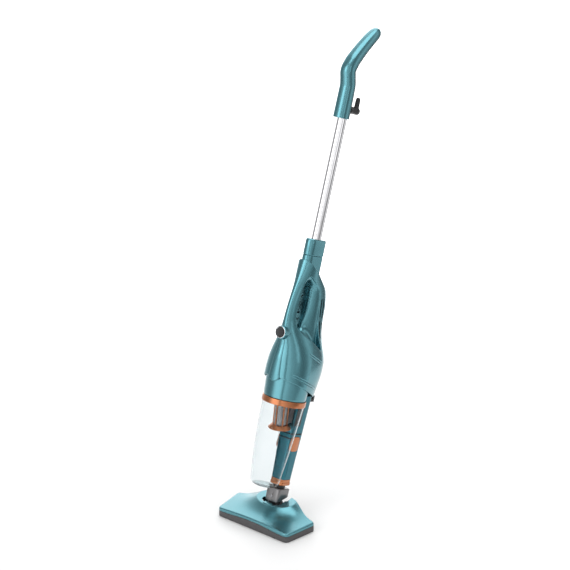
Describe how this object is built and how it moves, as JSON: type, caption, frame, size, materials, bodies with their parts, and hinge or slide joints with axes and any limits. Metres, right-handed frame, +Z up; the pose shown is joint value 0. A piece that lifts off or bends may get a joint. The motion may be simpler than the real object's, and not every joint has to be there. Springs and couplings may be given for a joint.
{
  "type": "upright stick vacuum",
  "caption": "Upright stick vacuum: swivel floor head, clear dust cup beside an air duct, loop-grip handheld body, chrome tube, long bent handle with a cord hook.",
  "frame": {"origin": "on the floor under the floor head, in the plane of symmetry and midway between the front and back edges of the sole", "axes": "+Z up, +X to the machine's left as seen from the front, -Y to the front; the upper body leans back 19 degrees towards +Y"},
  "size_m": [0.222, 0.4349, 1.0469],
  "materials": {
    "teal": "metallic paint in the moulding, satin",
    "copper": "copper metallic, satin",
    "gunmetal": "satin",
    "black": "satin",
    "grey": "matt",
    "chrome": "polished",
    "steel": "satin",
    "rubber": "matt",
    "clear": "clear, polished",
    "paper": "matt",
    "board": "satin",
    "copper_wire": "satin",
    "bristle": "matt"
  },
  "bodies": {
    "handheld": {"shell_left": "teal", "shell_right": "teal", "front_ridge": "teal", "duct": "teal", "duct_collar": "copper", "label_panel_left": "grey", "label_panel_right": "grey", "motor_chamber": "teal", "hepa_filter": "paper", "motor_can": "steel", "fan_cover": "grey", "motor_mount": "rubber", "terminal_board": "board", "power_switch": "black", "button_bezel": "chrome", "button_spring": "steel", "release_spring_left": "steel", "release_spring_right": "steel", "cord_gland": "rubber", "vent_grille_left": "black", "vent_grille_right": "black", "lower_cord_hook": "black", "shell_screw_1": "steel", "shell_screw_2": "steel"},
    "neck": {"yoke": "gunmetal", "neck_spigot": "black", "roll_screw_front": "steel", "roll_screw_rear": "steel"},
    "elbow": {"elbow": "black"},
    "floor_head": {"head_sole": "grey", "head_cover": "teal", "bristle_strip_front": "bristle", "bristle_strip_rear": "bristle", "wheel_axle_left": "steel", "wheel_axle_right": "steel", "head_screw_1": "steel", "head_screw_2": "steel", "pitch_pin_left": "steel", "pitch_pin_right": "steel"},
    "wheel_left": {"wheel_left": "black"},
    "wheel_right": {"wheel_right": "black"},
    "head_catch": {"head_catch": "teal"},
    "rod": {"rod_connector": "teal", "chrome_tube": "chrome", "handle_shell": "teal", "handle_grip": "rubber", "hook_base": "black"},
    "cord_hook": {"cord_hook": "black"},
    "rod_latch": {"rod_latch_button": "black"},
    "power_button": {"power_button": "black"},
    "release_left": {"release_button_left": "copper"},
    "release_right": {"release_button_right": "copper"},
    "dust_cup": {"dust_cup": "clear", "cup_seal": "rubber", "cyclone_frame": "copper", "mesh_screen": "steel", "cyclone_intake": "grey"},
    "rotor": {"motor_rotor": "copper_wire", "impeller": "grey"}
  },
  "joints": [
    {"name": "neck_pull_off", "type": "slide", "parent": "handheld", "child": "neck", "axis": [0, -0.3256, -0.9455], "range_m": [0, 0.03]},
    {"name": "neck_roll", "type": "hinge", "parent": "neck", "child": "elbow", "pos_m": [0, 0.04637, 0.04905], "axis": [0, -0.9455, 0.3256], "range_deg": [-20, 20]},
    {"name": "neck_pitch", "type": "hinge", "parent": "elbow", "child": "floor_head", "pos_m": [0, 0.04019, 0.03109], "axis": [1, 0, 0], "range_deg": [-19, 50]},
    {"name": "wheel_left_spin", "type": "hinge", "parent": "floor_head", "child": "wheel_left", "pos_m": [-0.084, 0.03, 0.008], "axis": [1, 0, 0], "continuous": true},
    {"name": "wheel_right_spin", "type": "hinge", "parent": "floor_head", "child": "wheel_right", "pos_m": [0.084, 0.03, 0.008], "axis": [1, 0, 0], "continuous": true},
    {"name": "head_catch_press", "type": "slide", "parent": "floor_head", "child": "head_catch", "axis": [0, 0, -1], "range_m": [0, 0.002], "stiffness_N_per_m": 300, "springref_m": -0.002},
    {"name": "rod_pull_out", "type": "slide", "parent": "handheld", "child": "rod", "axis": [0, 0.3256, 0.9455], "range_m": [0, 0.04]},
    {"name": "cord_hook_turn", "type": "hinge", "parent": "rod", "child": "cord_hook", "pos_m": [0, 0.31337, 0.87514], "axis": [0, -0.9455, 0.3256], "range_deg": [0, 180]},
    {"name": "rod_latch_press", "type": "slide", "parent": "handheld", "child": "rod_latch", "axis": [0, -0.9455, 0.3256], "range_m": [0, 0.002], "stiffness_N_per_m": 400, "springref_m": -0.002},
    {"name": "power_button_press", "type": "slide", "parent": "handheld", "child": "power_button", "axis": [0, 0.9455, -0.3256], "range_m": [0, 0.002], "stiffness_N_per_m": 500, "springref_m": -0.002, "deforming": ["button_spring"]},
    {"name": "release_left_press", "type": "slide", "parent": "handheld", "child": "release_left", "axis": [1, 0, 0], "range_m": [0, 0.002], "stiffness_N_per_m": 500, "springref_m": -0.002, "deforming": ["release_spring_left"]},
    {"name": "release_right_press", "type": "slide", "parent": "handheld", "child": "release_right", "axis": [-1, 0, 0], "range_m": [0, 0.002], "stiffness_N_per_m": 500, "springref_m": -0.002, "deforming": ["release_spring_right"]},
    {"name": "dust_cup_draw", "type": "slide", "parent": "handheld", "child": "dust_cup", "axis": [0, -0.9455, 0.3256], "range_m": [0, 0.12]},
    {"name": "rotor_spin", "type": "hinge", "parent": "handheld", "child": "rotor", "pos_m": [0, 0.10035, 0.35939], "axis": [0, 0.3256, 0.9455], "continuous": true}
  ]
}
